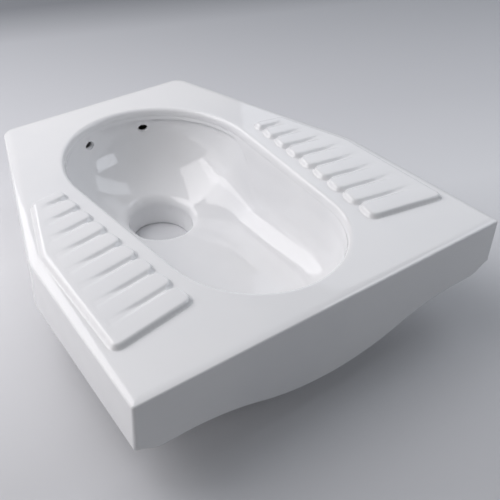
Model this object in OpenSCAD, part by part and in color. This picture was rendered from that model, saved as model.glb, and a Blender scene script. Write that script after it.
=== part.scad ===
// Squat toilet pan of glazed vitreous china, in millimetres.
// X runs to the right, Y to the rear and Z up. The origin lies on the ground under
// the middle of the deck. Inside the modules y is measured from the front edge of
// the deck and z from its standing surface, and place() moves both into the frame.

/* [Deck] */
// Width of the deck along its front edge
deck_w = 550; // [520:1:600]
// Depth of the deck from front to rear
deck_d = 550; // [545:1:590]
// How far each side has drawn in at its knee, where it bends inwards
knee_in = 20; // [10:1:28]
// Distance of the knees from the front edge
knee_y = 258; // [230:1:290]
// How far each side has drawn in at the rear edge
rear_in = 125; // [110:1:140]
// Thickness of the china of the deck
deck_t = 12; // [12:0.5:14]
// Rounding along the upper edge of the deck
edge_r = 6.5; // [4:0.5:8]
// Corner radius at the front, seen from above
front_corner_r = 9; // [9:0.5:14]
// Radius at the knees, seen from above
knee_r = 90; // [60:1:120]
// Corner radius at the rear, seen from above
rear_corner_r = 22; // [16:1:30]

/* [Skirt and apron] */
// Height of the skirt along the sides and the rear
skirt_h = 67; // [65:1:80]
// Thickness of the skirt
skirt_t = 10; // [8:0.5:12]
// How much further the front apron reaches down than the skirt
apron_drop = 13; // [6:1:18]
// How much further the belly of the apron reaches down in its middle
belly_drop = 36; // [24:1:40]
// Half of the width over which the belly runs out
belly_half = 218; // [180:1:235]
// Length of the front over which the apron runs up to the skirt at each corner
apron_fade = 34; // [24:1:50]
// Chamfer along the lower edge of the skirt
skirt_chamfer = 2.5; // [1:0.5:3.5]

/* [Basin] */
// Radius of the mouth at the rear, at the foot of its rolled lip
mouth_rear_r = 135; // [128:1:142]
// Room between that rear round and the rear skirt, for the flush box
rear_room = 36; // [34:1:46]
// Radius of the mouth at the front, at the foot of its rolled lip
mouth_front_r = 123; // [112:1:126]
// Distance of the centre of that front round from the front edge
mouth_front_y = 165; // [160:1:180]
// Radius of the rolled lip of the mouth
lip_r = 12; // [9:0.5:12]
// Thickness of the china of the basin
basin_t = 10; // [8:0.5:12]
// Depth of the basin floor at the drain
drain_depth = 112; // [100:1:130]
// Rise of the floor away from the drain, per millimetre
floor_slope = 0.072; // [0.03:0.002:0.09]
// Lean of the basin wall from the vertical, in degrees
wall_draft = 8; // [3:0.5:12]
// Radius between the wall and the floor
floor_r = 48; // [36:1:50]

/* [Drain] */
// How far the drain lies behind the centre of the rear round
drain_shift = 5; // [0:1:10]
// Radius of the throat just below the drain lip
throat_r = 46; // [43:0.5:47]
// Radius of the rounded lip round the drain
drain_lip_r = 8; // [5:0.5:8.5]
// Radius of the bore of the outlet spigot
outlet_bore_r = 41.5; // [38:0.5:42]
// Outer radius of the outlet spigot
spigot_r = 51; // [49:0.5:52]
// Width of the land round the drain lip, where the spigot joins the basin
collar_land = 2; // [1:0.5:3]
// Length of the spigot below the basin
spigot_len = 28; // [24:1:50]
// Height of the taper from the throat to the bore
throat_taper = 12; // [6:1:14]
// Chamfer at the end of the spigot
spigot_chamfer = 2; // [1:0.5:3]

/* [Outlet seal] */
// Distance of the ring below the basin
seal_below = 2; // [1:0.5:4]
// Depth of the seat of the ring in the spigot
seat_depth = 1; // [0.5:0.5:2]
// Radial thickness of the body of the sealing ring
seal_t = 3.5; // [2.5:0.5:5]
// Height of the sealing ring
seal_h = 14; // [10:1:16]
// How far each lip of the ring stands out
seal_lip = 2.5; // [1.5:0.5:3.5]
// Number of lips on the ring
seal_lips = 3; // [2:1:4]

/* [Flush inlet] */
// Outer radius of the inlet socket
socket_r = 23; // [21.5:0.5:24]
// Clearance between the socket and the underside of the deck
socket_gap = 1.5; // [0.5:0.5:2.5]
// Radius of the bore of the inlet socket
socket_bore_r = 18.5; // [17.5:0.5:19.5]
// Length of the inlet socket
socket_len = 24; // [20:1:26]
// Radius of the flush pipe that the inlet seal takes
pipe_r = 16; // [15:0.5:16]
// Length over which the inlet seal flares open for the pipe
seal_flare = 3; // [2:0.5:5]
// Half of the width of the flush box
box_half = 88; // [75:1:95]
// Wall thickness of the flush box
box_t = 6; // [5:0.5:7]
// Clearance between the socket and the floor of the flush box
box_gap = 0.5; // [0.5:0.5:2]
// Radius of each jet
jet_r = 6.5; // [4:0.5:8]
// Angle of each jet from the middle of the rear wall
jet_angle = 20; // [15:1:24]
// Depth of the jets below the standing surface
jet_z = 32; // [28:1:38]

/* [Foot treads] */
// Distance of the toe end of a tread from the front edge, at its middle
tread_toe_y = 83; // [75:1:95]
// Width of the rib at the heel end of a tread
heel_w = 15.5; // [12:0.5:20]
// Distance of a tread from the side of the deck
tread_margin = 19; // [15:1:24]
// Clearance between the rib tips and the side of the rolled lip, at the toe
tip_toe_gap = 1; // [0.5:0.5:6]
// Clearance between the rib tips and the side of the rolled lip, at the heel
tip_heel_gap = 9; // [4:0.5:14]
// Height of the ribs
rib_h = 6.5; // [4:0.5:9]
// How much higher the bead on the outer side is than the ribs
bead_rise = 0.5; // [0.3:0.1:1]
// Number of ribs between the toe and the heel rib
rib_count = 7; // [5:1:7]
// Pitch of the ribs at the toe
rib_pitch = 35; // [33:0.5:36]
// How much each pitch is less than the one before it
pitch_step = 0.85; // [0.4:0.05:1]
// Width of the groove between two ribs
groove_w = 7; // [5:0.5:9]
// Splay of the ribs, in degrees
rib_splay = 9.5; // [5:0.5:13]
// Width of the bead that joins the ribs along the outer side
bead_w = 17; // [14:0.5:20]
// Thickness of the tread in its grooves
groove_floor = 1.6; // [1:0.2:2.4]

/* [Underside] */
// Thickness of the webs between the skirt and the basin
web_t = 10; // [8:0.5:12]
// Depth of the webs below the standing surface
web_h = 56; // [50:1:62]
// Distance of the front pair of webs from the front edge
web_front_y = 140; // [120:1:170]
// Distance of the rear pair of webs from the front edge
web_rear_y = 300; // [280:1:320]
// Radius of a foot where it stands on the ground
foot_r = 19; // [15:0.5:24]
// How much wider a foot is where it joins the basin
foot_flare = 4; // [2:0.5:6]
// Distance of each foot from the middle
foot_x = 52; // [45:1:60]
// Distance of the feet from the front edge
foot_y = 122; // [115:1:135]

/* [Hidden] */
china = [0.93, 0.94, 0.95];
bare_china = [0.86, 0.84, 0.80];
rubber = [0.12, 0.12, 0.13];
round_fn = 96;
tip_fn = 32;
front_cuts = 15;
corner_cuts = 5;
knee_cuts = 4;
mouth_front_cuts = 13;
mouth_side_cuts = 7;
mouth_rear_cuts = 28;
lip_cuts = 5;
floor_cuts = 7;
web_rings = 3;
slope_round = 60;
rib_cuts = 5;
drain_cuts = 8;
least_corner = 0.8;
bar_seam = 0.3;
spare = 1;
deck_h = drain_depth + basin_t + spigot_len;
knee_w = deck_w - 2 * knee_in;
rear_w = deck_w - 2 * rear_in;
mouth_rear_y = deck_d - skirt_t - rear_room - mouth_rear_r;
drain_y = mouth_rear_y + drain_shift;
inlet_z = deck_t + socket_r + socket_gap;
box_h = socket_gap + 2 * socket_r + box_gap + box_t;
bead_h = rib_h + bead_rise;
tip_toe_x = mouth_front_r + lip_r + tip_toe_gap;
tip_heel_x = mouth_rear_r + lip_r + tip_heel_gap;

// Puts the pan, measured from its front edge and standing surface, into the frame.
module place() translate([0, -deck_d / 2, deck_h]) children();

// ---- Plan outlines -------------------------------------------------------------

// The point where two lines meet, each given by a point on it and its direction.
function cross2(a, b) = a[0] * b[1] - a[1] * b[0];
function meet(p, u, q, v) = p + u * cross2(q - p, v) / cross2(u, v);

// One corner of an outline: the arc of radius r between the sides from a and to b.
function corner_arc(a, c, b, r, cuts) =
    let (u = (a - c) / norm(a - c), v = (b - c) / norm(b - c))
    let (half = acos(u * v) / 2, mid = (u + v) / norm(u + v))
    let (o = c + mid * r / sin(half), s = c + u * r / tan(half) - o)
    let (start = atan2(s[1], s[0]), turn = 180 - 2 * half)
    [for (i = [0:cuts]) o + r * [cos(start + turn * i / cuts), sin(start + turn * i / cuts)]];

// The four corners of the right half, drawn in by inset on every side.
function side_corner(inset) =
    let (a = [deck_w / 2, 0], k = [knee_w / 2, knee_y], b = [rear_w / 2, deck_d])
    let (low = (k - a) / norm(k - a), high = (b - k) / norm(b - k))
    let (p = a + inset * [-low[1], low[0]], q = b + inset * [-high[1], high[0]])
    [meet([0, inset], [1, 0], p, low), meet(p, low, q, high), meet([0, deck_d - inset], [1, 0], q, high)];

// The right half of the deck outline, from the middle of the front to that of the rear.
function deck_half(inset) =
    let (c = side_corner(inset), f = [0, inset], r = [0, deck_d - inset])
    let (toe = corner_arc(f, c[0], c[1], max(front_corner_r - inset, least_corner), corner_cuts))
    concat([for (i = [0:front_cuts - 1]) f + (toe[0] - f) * i / front_cuts],
           toe,
           corner_arc(c[0], c[1], c[2], knee_r - inset, knee_cuts),
           corner_arc(c[1], c[2], r, rear_corner_r - inset, corner_cuts));

// Closes a right half with its mirror image, starting at the middle of the front.
function closed(half) =
    concat(half, [for (i = [len(half) - 1:-1:1]) [-half[i][0], half[i][1]]]);

function deck_loop(inset) = closed(deck_half(inset));

// The mouth of the basin: a front and a rear round joined by two straight sides.
function mouth_half(inset) =
    let (rr = mouth_rear_r - inset, rf = mouth_front_r - inset)
    let (lean = asin((rr - rf) / (mouth_rear_y - mouth_front_y)))
    let (cf = [0, mouth_front_y], cr = [0, mouth_rear_y])
    let (a = cf + rf * [cos(lean), -sin(lean)], b = cr + rr * [cos(lean), -sin(lean)])
    concat([for (i = [0:mouth_front_cuts]) let (t = -90 + (90 - lean) * i / mouth_front_cuts)
               cf + rf * [cos(t), sin(t)]],
           [for (i = [1:mouth_side_cuts - 1]) a + (b - a) * i / mouth_side_cuts],
           [for (i = [0:mouth_rear_cuts / 2]) let (t = -lean + (90 + lean) * 2 * i / mouth_rear_cuts)
               cr + rr * [cos(t), sin(t)]]);

// The last point of the half lies in the middle of the rear and isn't mirrored.
function mouth_loop(inset) =
    let (half = mouth_half(inset))
    concat(half, [for (i = [len(half) - 2:-1:1]) [-half[i][0], half[i][1]]]);

// ---- Surfaces between loops ------------------------------------------------------

function lift(loop, z) = [for (p = loop) [p[0], p[1], z]];

// Triangles between two loops of the same number of points m.
function strip(a, b, m) =
    [for (i = [0:m - 1]) let (j = (i + 1) % m) each [[a + i, a + j, b + j], [a + i, b + j, b + i]]];

// How far round the middle of the deck each side of a loop lies.
function side_keys(loop) =
    [for (i = [0:len(loop) - 1])
        let (m = (loop[i] + loop[(i + 1) % len(loop)]) / 2)
        let (t = atan2(m[1] - deck_d / 2, m[0]) + 90)
        t < 0 ? t + 360 : t];
function below(keys, t) = len([for (k = keys) if (k < t) 1]);
function up_to(keys, t) = len([for (k = keys) if (k <= t) 1]);

// Triangles between two flat loops with different numbers of points.
function zip_loops(outer, inner, a, b) =
    let (ka = side_keys(outer), kb = side_keys(inner), na = len(outer), nb = len(inner))
    concat([for (i = [0:na - 1]) [a + i, a + (i + 1) % na, b + below(kb, ka[i]) % nb]],
           [for (j = [0:nb - 1]) [b + (j + 1) % nb, b + j, a + up_to(ka, kb[j]) % na]]);

function flipped(faces) = [for (f = faces) [f[2], f[1], f[0]]];

// ---- Deck ------------------------------------------------------------------------

// The belly of the apron is two arcs of one radius that run into each other.
belly_r = (pow(belly_half / 2, 2) + pow(belly_drop / 2, 2)) / belly_drop;
function belly(x) =
    let (a = abs(x))
    a < belly_half / 2 ? belly_drop - belly_r + sqrt(belly_r * belly_r - a * a)
    : a < belly_half ? belly_r - sqrt(belly_r * belly_r - pow(belly_half - a, 2))
    : 0;

// The apron is on the front face alone and runs up to the skirt beside each corner.
function front_share(p) = p[1] > front_corner_r ? 0
    : (1 - cos(180 * min(1, (deck_w / 2 - abs(p[0])) / apron_fade))) / 2;
function skirt_drop(p) = skirt_h + (apron_drop + belly(p[0])) * front_share(p);

// The lower edge of the skirt follows the outer outline, whatever the inset.
function skirt_loop(inset, up) =
    let (line = deck_loop(inset), edge = deck_loop(0))
    [for (i = [0:len(line) - 1]) [line[i][0], line[i][1], up - skirt_drop(edge[i])]];

// The lip rolls over until it runs into the leaning wall of the basin, under the deck.
lip_foot = lip_r * (cos(wall_draft) - 1)
    + (deck_t - lip_r * (1 - sin(wall_draft))) * tan(wall_draft);

module deck_shell() {
    outer = [
        lift(deck_loop(skirt_t), -deck_t),
        skirt_loop(skirt_t, skirt_chamfer),
        skirt_loop(skirt_t - skirt_chamfer, 0),
        skirt_loop(skirt_chamfer, 0),
        skirt_loop(0, skirt_chamfer),
        for (i = [0:lip_cuts]) let (t = 90 * i / lip_cuts)
            lift(deck_loop(edge_r * (1 - cos(t))), edge_r * (sin(t) - 1))];
    inner = [
        for (i = [0:lip_cuts]) let (t = (90 - wall_draft) * i / lip_cuts)
            lift(mouth_loop(lip_r * (sin(t) - 1)), lip_r * (cos(t) - 1)),
        lift(mouth_loop(lip_foot), -deck_t)];
    no = len(outer[0]);
    ni = len(inner[0]);
    rings_o = len(outer);
    rings_i = len(inner);
    first_i = rings_o * no;
    points = concat([for (r = outer) each r], [for (r = inner) each r]);
    faces = concat(
        [for (k = [0:rings_o - 2]) each strip(k * no, (k + 1) * no, no)],
        zip_loops(deck_loop(edge_r), mouth_loop(-lip_r), (rings_o - 1) * no, first_i),
        [for (k = [0:rings_i - 2]) each strip(first_i + k * ni, first_i + (k + 1) * ni, ni)],
        flipped(zip_loops(deck_loop(skirt_t), mouth_loop(0), 0, first_i + (rings_i - 1) * ni)));
    polyhedron(points, flipped(faces));
}

// A cylinder along y, from y0 to y1 at the height of the flush inlet.
module along_y(r, y0, y1, x = 0, z = -inlet_z)
    translate([x, y0, z]) rotate([-90, 0, 0]) cylinder(r = r, h = y1 - y0, $fn = round_fn);

module deck() place() color(china)
    difference() {
        deck_shell();
        along_y(socket_r, deck_d - skirt_t - spare, deck_d + spare);
    }

// ---- Basin -----------------------------------------------------------------------

// Depth of the floor at y: lowest at the drain, rising to both sides of it.
function floor_depth(y) =
    drain_depth - floor_slope * (sqrt(pow(y - drain_y, 2) + slope_round * slope_round) - slope_round);

// The wall of the basin as [inset, depth]: a straight leaning wall, then a quarter round.
bend_x = lip_foot + floor_r * cos(wall_draft)
    + (drain_depth - floor_r + floor_r * sin(wall_draft) - deck_t) * tan(wall_draft);
wall_line = concat([[lip_foot, deck_t, 0]],
    [for (i = [0:floor_cuts]) let (t = wall_draft + (90 - wall_draft) * i / floor_cuts)
        [bend_x - floor_r * cos(t), drain_depth - floor_r + floor_r * sin(t), t]]);

// A ring of the basin: its depth follows the floor, so it is less at the front.
function depth_at(d, y) =
    deck_t + (d - deck_t) * (floor_depth(y) - deck_t) / (drain_depth - deck_t);
function basin_ring(s) = [for (p = mouth_loop(s[0])) [p[0], p[1], -depth_at(s[1], p[1])]];

// The same ring on the outside of the china, a wall thickness away.
function outside_ring(s, t) =
    [for (p = mouth_loop(s[0] - t * cos(s[2]))) [p[0], p[1], -depth_at(s[1], p[1]) - t * sin(s[2])]];

// A ring round the drain, with one point for each point of the mouth.
function drain_ring(r, z) = [for (p = mouth_loop(bend_x))
    let (u = p - [0, drain_y]) let (q = [0, drain_y] + r * u / norm(u)) [q[0], q[1], z]];

collar_r = throat_r + drain_lip_r + collar_land;

module closed_rings(rings) {
    m = len(rings[0]);
    n = len(rings);
    polyhedron([for (r = rings) each r],
               [for (k = [0:n - 1]) each strip(k * m, ((k + 1) % n) * m, m)]);
}

// Everything inside the outer surface of the basin, filled, for the pieces that join it.
// With upper set it stops part of the way down the wall.
module basin_body(upper = false) {
    low = upper ? web_rings : len(wall_line) - 1;
    rings = concat([for (i = [0:low]) outside_ring(wall_line[i], basin_t)],
                   upper ? [] : [drain_ring(collar_r, -drain_depth - basin_t)]);
    m = len(rings[0]);
    n = len(rings);
    top = lift(mouth_loop(-basin_t), spare);
    polyhedron([for (r = concat([top], rings)) each r],
               concat([for (k = [0:n - 1]) each strip(k * m, (k + 1) * m, m)],
                      [[for (i = [m - 1:-1:0]) i]],
                      [[for (i = [0:m - 1]) n * m + i]]));
}

module jets() for (side = [-1, 1])
    translate([0, mouth_rear_y, -jet_z]) rotate([0, 0, side * jet_angle]) rotate([-90, 0, 0])
        cylinder(r = jet_r, h = mouth_rear_r + 2 * basin_t, $fn = round_fn / 2);

module basin() place() color(china)
    difference() {
        closed_rings(concat(
            [for (s = wall_line) basin_ring(s)],
            [drain_ring(throat_r + drain_lip_r / 2, -drain_depth),
             drain_ring(throat_r + drain_lip_r / 2, -drain_depth - basin_t)],
            [for (i = [len(wall_line) - 1:-1:0]) outside_ring(wall_line[i], basin_t)]));
        translate([0, drain_y, -drain_depth - basin_t - spare])
            cylinder(r = collar_r, h = basin_t + 2 * spare, $fn = round_fn);
        jets();
    }

// ---- Outlet ----------------------------------------------------------------------

seal_top = -drain_depth - basin_t - seal_below;
seat_r = spigot_r - seat_depth;

module outlet_spigot() place() color(china) translate([0, drain_y, 0]) {
    lip = [for (i = [0:drain_cuts]) let (t = 90 * i / drain_cuts)
        [throat_r + drain_lip_r * (1 - sin(t)), -drain_depth - drain_lip_r * (1 - cos(t))]];
    rotate_extrude($fn = round_fn) polygon(concat(
        [[collar_r, -drain_depth]], lip,
        [[outlet_bore_r, -drain_depth - drain_lip_r - throat_taper],
         [outlet_bore_r, -deck_h],
         [spigot_r - spigot_chamfer, -deck_h],
         [spigot_r, -deck_h + spigot_chamfer],
         [spigot_r, seal_top - seal_h],
         [seat_r, seal_top - seal_h],
         [seat_r, seal_top],
         [collar_r, -drain_depth - basin_t]]));
}

module outlet_seal() place() color(rubber) translate([0, drain_y, seal_top - seal_h]) {
    step = seal_h / (seal_lips * 2);
    fins = [for (i = [0:seal_lips - 1]) each [
        [spigot_r + seal_t, 2 * i * step],
        [spigot_r + seal_t + seal_lip, (2 * i + 0.9) * step],
        [spigot_r + seal_t, (2 * i + 1.3) * step]]];
    rotate_extrude($fn = round_fn)
        polygon(concat([[seat_r, 0]], fins, [[spigot_r + seal_t, seal_h], [seat_r, seal_h]]));
}

// ---- Flush box and inlet -----------------------------------------------------------

box_back = deck_d - skirt_t;
box_front = mouth_rear_y + mouth_rear_r / 2;
module box_block(trim, low) translate([trim - box_half, box_front, low - deck_t - box_h])
    cube([2 * (box_half - trim), box_back - trim - box_front, box_h - low]);

module flush_box() place() color(bare_china)
    difference() {
        box_block(0, 0);
        translate([0, 0, spare]) box_block(box_t, box_t + spare);
        basin_body();
        along_y(socket_r, box_back - box_t - spare, box_back + spare);
    }

module inlet_socket() place() color(china)
    difference() {
        along_y(socket_r, deck_d - socket_len, deck_d);
        along_y(socket_bore_r, deck_d - socket_len - spare, deck_d + spare);
    }

module inlet_seal() place() color(rubber) translate([0, deck_d, -inlet_z]) rotate([90, 0, 0])
    rotate_extrude($fn = round_fn) polygon([
        [(pipe_r + socket_bore_r) / 2, 0],
        [socket_bore_r, 0],
        [socket_bore_r, socket_len],
        [pipe_r, socket_len],
        [pipe_r, seal_flare]]);

// ---- Foot treads -----------------------------------------------------------------

// Places along the tread, all on its middle line: the toe, the grooves and the heel.
tread_mid_x = (tip_toe_x + deck_w / 2 - tread_margin) / 2;
function groove_y(k) = tread_toe_y + rib_pitch * k - pitch_step * k * (k - 1) / 2;
tread_heel_y = groove_y(rib_count + 1) + groove_w / 2 + heel_w;
splay_dir = [-cos(rib_splay), sin(rib_splay)];

// The line of the rib tips beside the mouth, and the two lines along the side of the deck.
tip_at = [tip_toe_x, tread_toe_y];
tip_dir = [tip_heel_x - tip_toe_x, tread_heel_y - tread_toe_y];
bead_line = side_corner(tread_margin + bead_w / 2);
bead_low = (bead_line[1] - bead_line[0]) / norm(bead_line[1] - bead_line[0]);
bead_high = (bead_line[2] - bead_line[1]) / norm(bead_line[2] - bead_line[1]);

function on_rib(y) = [tread_mid_x, y];
function tip_of(y) = meet(on_rib(y), splay_dir, tip_at, tip_dir);
function low_of(y) = meet(on_rib(y), splay_dir, bead_line[0], bead_low);
function high_of(y) = meet(on_rib(y), splay_dir, bead_line[1], bead_high);
function outer_of(y) = low_of(y)[1] < bead_line[1][1] ? low_of(y) : high_of(y);

// Half of the section of a rounded bar: upright at the side and nearly flat on top.
function bar_half(w, h) = [for (i = [0:rib_cuts]) let (t = 90 * i / rib_cuts)
    [w / 2 * pow(cos(t), 0.7), h * pow(sin(t), 0.8)]];

// The round end of a bar that comes from the point before. It is sunk into the bar by its seam.
module bar_end(at, before, w, h) {
    turn = atan2(at[1] - before[1], at[0] - before[0]);
    translate([at[0], at[1], 0]) rotate([0, 0, turn - 90]) translate([0, -bar_seam, 0])
        rotate_extrude(angle = 180, $fn = tip_fn)
            polygon(concat([[0, 0]], bar_half(w - bar_seam, h - bar_seam)));
}

// A rounded bar between two points of the deck.
module bar(a, b, w, h) {
    side = bar_half(w, h);
    turn = atan2(b[1] - a[1], b[0] - a[0]);
    translate([a[0], a[1], 0]) rotate([0, 0, turn]) rotate([90, 0, 90])
        linear_extrude(height = norm(b - a))
            polygon(concat(side, [for (i = [rib_cuts - 1:-1:0]) [-side[i][0], side[i][1]]]));
}

// A point of the right tread, or its mirror image when hand is -1.
function handed(p, hand) = [hand * p[0], p[1]];

// One leg of the bead, from its round end past the knee, cut off there at the mitre.
module bead_leg(end, dir, hand) {
    knee = handed(bead_line[1], hand);
    mitre = handed(bead_low + bead_high, hand);
    back = dir[1] > 0 ? 0 : 180;
    from = handed(end, hand);
    bar_end(from, knee, bead_w, bead_h);
    difference() {
        bar(from, knee + bead_w * handed(dir, hand), bead_w, bead_h);
        translate([knee[0], knee[1], -spare]) rotate([0, 0, atan2(mitre[1], mitre[0]) + back])
            translate([0, -bead_w, 0]) cube([2 * bead_w, 2 * bead_w, bead_h + 2 * spare]);
    }
}

// One rib, from the bead on the outer side to its round tip beside the mouth.
module rib(y0, y1, hand) {
    mid = (y0 + y1) / 2;
    w = y1 - y0;
    from = handed(outer_of(mid), hand);
    tip = handed(tip_of(mid) - splay_dir * w / 2, hand);
    bar(from, tip, w, rib_h);
    bar_end(tip, from, w, rib_h);
}

module tread(hand) {
    first = groove_y(1);
    last = groove_y(rib_count + 1);
    back = splay_dir * rib_pitch / 3;
    bead_leg(outer_of(tread_toe_y + bead_w / 2), bead_low, hand);
    bead_leg(outer_of(tread_heel_y - bead_w / 2), -bead_high, hand);
    rib(tread_toe_y, first - groove_w / 2, hand);
    for (k = [1:rib_count]) rib(groove_y(k) + groove_w / 2, groove_y(k + 1) - groove_w / 2, hand);
    rib(last + groove_w / 2, tread_heel_y, hand);
    linear_extrude(height = groove_floor) polygon([
        for (p = [outer_of(first - groove_w), bead_line[1], outer_of(last + groove_w),
                  tip_of(last + groove_w) - back, tip_of(first - groove_w) - back]) handed(p, hand)]);
}

module right_tread() place() color(china) tread(1);
module left_tread() place() color(china) tread(-1);

// ---- Underside -------------------------------------------------------------------

// A web fills the space between the basin, the deck and the skirt, over a round arch.
module web(y) difference() {
    intersection() {
        translate([0, 0, -web_h]) linear_extrude(height = web_h - deck_t) polygon(deck_loop(skirt_t));
        translate([mouth_front_r / 2, y - web_t / 2, -web_h])
            cube([(deck_w - mouth_front_r) / 2, web_t, web_h]);
    }
    basin_body(upper = true);
    along_y(web_h - deck_t - web_t, y - web_t, y + web_t, (mouth_rear_r + knee_w / 2) / 2, -web_h);
}
module right_front_web() place() color(bare_china) web(web_front_y);
module right_rear_web() place() color(bare_china) web(web_rear_y);
module left_front_web() place() color(bare_china) mirror([1, 0, 0]) web(web_front_y);
module left_rear_web() place() color(bare_china) mirror([1, 0, 0]) web(web_rear_y);

// A foot is a tapered stub that ends on the underside of the basin.
module foot() difference() {
    top = drain_depth - floor_r / 2;
    translate([foot_x, foot_y, -deck_h])
        cylinder(r1 = foot_r, r2 = foot_r + foot_flare, h = deck_h - top, $fn = round_fn);
    basin_body();
}
module right_foot() place() color(bare_china) foot();
module left_foot() place() color(bare_china) mirror([1, 0, 0]) foot();

deck();
basin();
left_tread();
right_tread();
outlet_spigot();
outlet_seal();
flush_box();
inlet_socket();
inlet_seal();
left_front_web();
left_rear_web();
right_front_web();
right_rear_web();
left_foot();
right_foot();
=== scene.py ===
import math

import bmesh
import bpy
import numpy as np
from mathutils import Matrix, Vector


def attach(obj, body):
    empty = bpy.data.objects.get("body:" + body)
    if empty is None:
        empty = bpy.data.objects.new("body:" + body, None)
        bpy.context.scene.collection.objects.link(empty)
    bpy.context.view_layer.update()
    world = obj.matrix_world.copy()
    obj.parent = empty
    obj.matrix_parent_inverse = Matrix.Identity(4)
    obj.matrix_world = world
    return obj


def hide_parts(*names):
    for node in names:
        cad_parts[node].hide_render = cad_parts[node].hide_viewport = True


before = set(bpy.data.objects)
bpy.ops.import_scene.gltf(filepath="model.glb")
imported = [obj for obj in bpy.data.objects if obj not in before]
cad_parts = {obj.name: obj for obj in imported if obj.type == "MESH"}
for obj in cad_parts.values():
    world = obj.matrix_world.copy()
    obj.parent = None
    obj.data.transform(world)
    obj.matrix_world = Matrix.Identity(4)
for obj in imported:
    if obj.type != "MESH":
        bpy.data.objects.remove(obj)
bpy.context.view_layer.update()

scene = bpy.context.scene
scene.view_settings.view_transform = "Standard"

# ---- Camera ------------------------------------------------------------------------
# The pan is seen from above its front left corner. Here and below, points are millimetres
# from the middle of the deck's front edge, with y to the rear and z up from the deck's top.

DECK_DEPTH, DECK_HEIGHT = 550.0, 150.0
MM = 0.001
EYE = (-556.25, -501.62, 642.84)
CAMERA_RIGHT = Vector((0.789946, -0.611508, 0.045213))
CAMERA_UP = Vector((0.348669, 0.508618, 0.787234))
LENS = 62.716


def placed(points):
    """Points of the pan in the frame's metres."""
    return (np.asarray(points, float) + [0, -DECK_DEPTH / 2, DECK_HEIGHT]) * MM


camera_data = bpy.data.cameras.new("photo_view")
camera_data.lens = LENS
camera_data.sensor_width = 36.0
camera_data.clip_end = 50.0
camera = bpy.data.objects.new("photo_view", camera_data)
camera_back = CAMERA_RIGHT.cross(CAMERA_UP)
turn = Matrix((CAMERA_RIGHT, CAMERA_UP, camera_back)).transposed()
camera.matrix_world = Matrix.Translation(placed([EYE])[0]) @ turn.to_4x4()
scene.collection.objects.link(camera)
scene.camera = camera

# ---- Floor and backdrop ------------------------------------------------------------
# A plain pale sheet that runs out level round the pan and keeps its shadow. Its colour
# is painted light: palest beside the pan and darkest far behind it, as the lamps' light falls off.


class Socket:
    """One output of a node. Arithmetic on it adds Math nodes to its graph."""

    def __init__(self, graph, socket):
        self.graph, self.socket = graph, socket

    def __add__(self, other):
        return self.graph.maths("ADD", self, other)

    def __sub__(self, other):
        return self.graph.maths("SUBTRACT", self, other)

    def __rsub__(self, other):
        return self.graph.maths("SUBTRACT", other, self)

    def __mul__(self, other):
        return self.graph.maths("MULTIPLY", self, other)

    def __truediv__(self, other):
        return self.graph.maths("DIVIDE", self, other)

    __radd__, __rmul__ = __add__, __mul__

    def beside(self, name):
        """Another output of the same node."""
        return Socket(self.graph, self.socket.node.outputs[name])


class Graph:
    """A node tree, with one method that makes a node and one for maths on values."""

    def __init__(self, tree):
        self.tree = tree

    def node(self, kind, settings=None, inputs=None, output=0):
        made = self.tree.nodes.new(kind)
        for name, value in (settings or {}).items():
            if name == "stops":
                for extra in value[2:]:
                    made.color_ramp.elements.new(extra[0])
                for stop, (place, colour) in zip(made.color_ramp.elements, value):
                    stop.position, stop.color = place, (*colour, 1)
            else:
                setattr(made, name, value)
        for key, value in (inputs or {}).items():
            if isinstance(value, Socket):
                self.tree.links.new(value.socket, made.inputs[key])
            else:
                made.inputs[key].default_value = value
        return Socket(self, made.outputs[output]) if made.outputs else made

    def maths(self, operation, *values):
        return self.node("ShaderNodeMath", {"operation": operation}, dict(enumerate(values)))


def new_material(name):
    """A material with an empty node tree, and its graph."""
    made = bpy.data.materials.new(name)
    made.use_nodes = True
    made.node_tree.nodes.clear()
    return made, Graph(made.node_tree)


FLOOR_SIZE = 12.0
# These tones paint the light's falloff into the floor: palest beside the pan, darker far behind and to the
# right.
SHEET_START, SHEET_END, SHEET_TURN = -0.45, 1.1, 0.3
SHEET_PAINTED_LIGHT_TONES = [(0.0, (0.575, 0.58, 0.60)), (0.2, (0.69, 0.695, 0.715)), (0.36, (0.755, 0.76, 0.78)),
               (0.55, (0.625, 0.63, 0.655)), (0.85, (0.49, 0.5, 0.525)), (0.97, (0.25, 0.26, 0.28))]

floor_material, g = new_material("studio_sheet_painted_light")
place = g.node("ShaderNodeTexCoord", output="Object")
sideways = g.node("ShaderNodeSeparateXYZ", None, {"Vector": place})
rearward = sideways.beside("Y") + sideways * SHEET_TURN
# The share along which the painted falloff runs, from beside the pan to the rear right.
painted_falloff = (rearward - SHEET_START) / (SHEET_END - SHEET_START)
colour = g.node("ShaderNodeValToRGB", {"stops": SHEET_PAINTED_LIGHT_TONES}, {"Fac": painted_falloff})
surface = g.node("ShaderNodeBsdfPrincipled", None, {
    "Base Color": colour, "Roughness": 0.6, "Specular IOR Level": 0.2})
g.node("ShaderNodeOutputMaterial", None, {"Surface": surface})

floor_mesh = bpy.data.meshes.new("floor")
half = FLOOR_SIZE / 2
corners = [(-half, -half, 0), (half, -half, 0), (half, half, 0), (-half, half, 0)]
floor_mesh.from_pydata(corners, [], [(0, 1, 2, 3)])
floor = bpy.data.objects.new("floor", floor_mesh)
floor_mesh.materials.append(floor_material)
scene.collection.objects.link(floor)

# ---- Deck --------------------------------------------------------------------------
# The top of the pan, slip-cast in vitreous china with its skirt and bellied front apron.
# It bends down softly to a tight edge and rolls over into its mouth, all under one glaze.

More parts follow.
